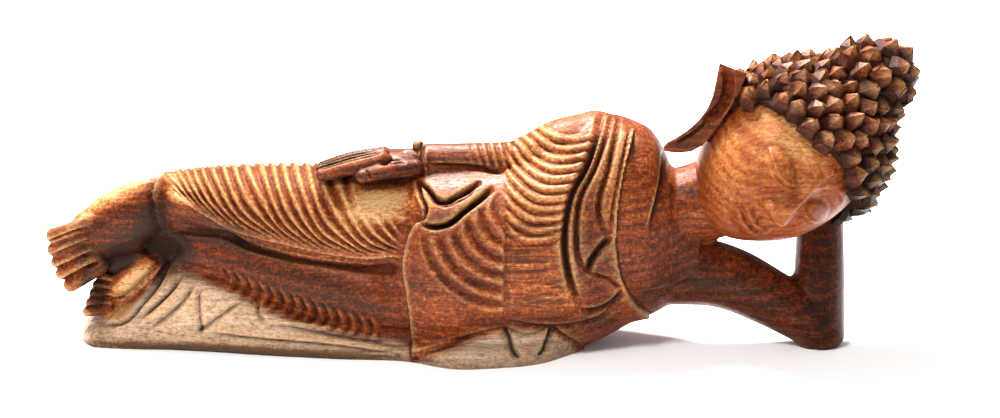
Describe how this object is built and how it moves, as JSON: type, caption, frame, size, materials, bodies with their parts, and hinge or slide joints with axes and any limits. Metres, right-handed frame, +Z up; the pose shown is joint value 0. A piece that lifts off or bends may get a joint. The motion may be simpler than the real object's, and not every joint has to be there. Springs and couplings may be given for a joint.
{
  "type": "statue",
  "caption": "Carved wooden statue of a reclining buddha in a pleated robe, lying on its left side on draped cloth, the head with tightly curled hair propped on one hand.",
  "frame": {"origin": "on the ground plane, under the middle of the carving's length and depth", "axes": "+X along the length, from the feet to the head; +Z up; the figure faces -Y"},
  "size_m": [0.4988, 0.1166, 0.1833],
  "materials": {
    "carved_wood": "satin varnish over two-tone heartwood and sapwood"
  },
  "bodies": {
    "root": {"reclining_buddha": "carved_wood"}
  },
  "joints": []
}
